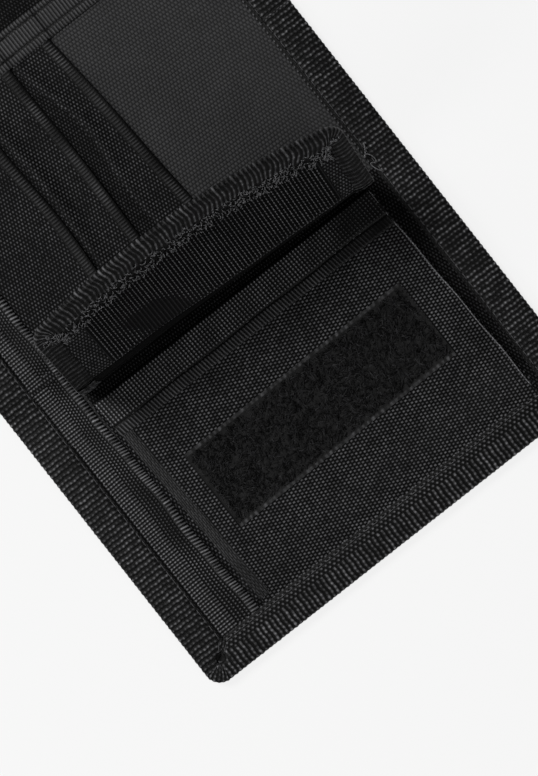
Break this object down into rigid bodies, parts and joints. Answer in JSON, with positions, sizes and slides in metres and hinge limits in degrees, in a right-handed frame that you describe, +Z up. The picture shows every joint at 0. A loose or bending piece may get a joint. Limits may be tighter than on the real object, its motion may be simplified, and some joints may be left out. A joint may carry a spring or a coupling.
{
  "type": "trifold wallet",
  "caption": "Soft trifold wallet of woven fabric with a flapped coin pocket, stepped card slots and a hook-and-loop closure, shown open and flat.",
  "frame": {"origin": "under the middle of the open wallet, in the plane that it lies on", "axes": "+X across the wallet from its left binding to its right one, +Y from the coin panel over the centre panel to the third panel, +Z up out of the inside face"},
  "size_m": [0.138, 0.278, 0.059],
  "materials": {
    "shell_fabric": "plain woven nylon, satin",
    "stiffener_board": "non-woven board, matt",
    "lining_fabric": "small basket weave, satin",
    "binding_tape": "ribbed woven tape, satin",
    "hem_tape": "fine ribbed tape, satin",
    "pocket_fabric": "small basket weave, satin",
    "edge_strip": "ribbed woven strip, satin",
    "loop_tape": "brushed loop pile, matt",
    "hook_tape": "moulded nylon hooks, satin",
    "clear_film": "clear soft film, gloss"
  },
  "bodies": {
    "centre": {"shell_centre": "shell_fabric", "stiffener_centre": "stiffener_board", "lining_centre": "lining_fabric", "binding_left_centre": "binding_tape", "binding_right_centre": "binding_tape", "card_slot_back": "pocket_fabric", "card_slot_middle": "pocket_fabric", "card_slot_front": "pocket_fabric", "slot_hem_back": "hem_tape", "slot_hem_middle": "hem_tape", "slot_hem_front": "hem_tape", "slot_end_tape": "hem_tape", "edge_strip_centre": "edge_strip", "fold_shell_coin": "shell_fabric", "fold_lining_coin": "lining_fabric", "fold_binding_left_coin": "binding_tape", "fold_binding_right_coin": "binding_tape", "fold_shell_third": "shell_fabric", "fold_lining_third": "lining_fabric", "fold_binding_left_third": "binding_tape", "fold_binding_right_third": "binding_tape"},
    "coin_panel": {"shell_coin": "shell_fabric", "stiffener_coin": "stiffener_board", "lining_coin": "lining_fabric", "binding_left_coin": "binding_tape", "binding_right_coin": "binding_tape", "binding_end_coin": "binding_tape", "edge_strip_coin": "edge_strip", "closure_loop_strip": "loop_tape", "pocket_front": "pocket_fabric", "pocket_hem_tape": "hem_tape", "gusset_left": "pocket_fabric", "gusset_right": "pocket_fabric", "pocket_loop_strip": "loop_tape", "flap_riser": "lining_fabric"},
    "third_panel": {"shell_third": "shell_fabric", "stiffener_third": "stiffener_board", "lining_third": "lining_fabric", "binding_left_third": "binding_tape", "binding_right_third": "binding_tape", "binding_end_third": "binding_tape", "edge_strip_third": "edge_strip", "closure_hook_strip": "hook_tape", "window_film": "clear_film", "window_tape_left": "hem_tape", "window_tape_near": "hem_tape", "window_tape_far": "hem_tape", "window_tape_mouth": "hem_tape"},
    "flap_root": {"flap_root_face": "shell_fabric", "flap_root_lining": "lining_fabric", "flap_root_binding_left": "binding_tape", "flap_root_binding_right": "binding_tape"},
    "flap_tip": {"flap_tip_face": "shell_fabric", "flap_tip_lining": "lining_fabric", "flap_tip_binding": "binding_tape", "flap_hook_strip": "hook_tape"}
  },
  "joints": [
    {"name": "fold_coin", "type": "hinge", "parent": "centre", "child": "coin_panel", "pos_m": [0, -0.045, 0.0085], "axis": [-1, 0, 0], "range_deg": [0, 179.95], "deforming": ["fold_shell_coin", "fold_lining_coin", "fold_binding_left_coin", "fold_binding_right_coin", "flap_root_face", "flap_root_lining", "flap_root_binding_left", "flap_root_binding_right", "flap_tip_face", "flap_tip_lining", "flap_tip_binding", "flap_hook_strip"]},
    {"name": "fold_third", "type": "hinge", "parent": "centre", "child": "third_panel", "pos_m": [0, 0.0505, 0.0106], "axis": [1, 0, 0], "range_deg": [0, 179.95], "deforming": ["fold_shell_third", "fold_lining_third", "fold_binding_left_third", "fold_binding_right_third"]},
    {"name": "flap_lift", "type": "hinge", "parent": "coin_panel", "child": "flap_root", "pos_m": [0, -0.049, 0.0103], "axis": [-1, 0, 0], "range_deg": [-85, 12]},
    {"name": "flap_bend", "type": "hinge", "parent": "flap_root", "child": "flap_tip", "pos_m": [0, -0.05109, 0.03421], "axis": [-1, 0, 0], "range_deg": [-48.1, 6.9]}
  ],
  "couplings": [
    {"joint": "flap_bend", "follows": "flap_lift", "ratio": 0.5647}
  ]
}
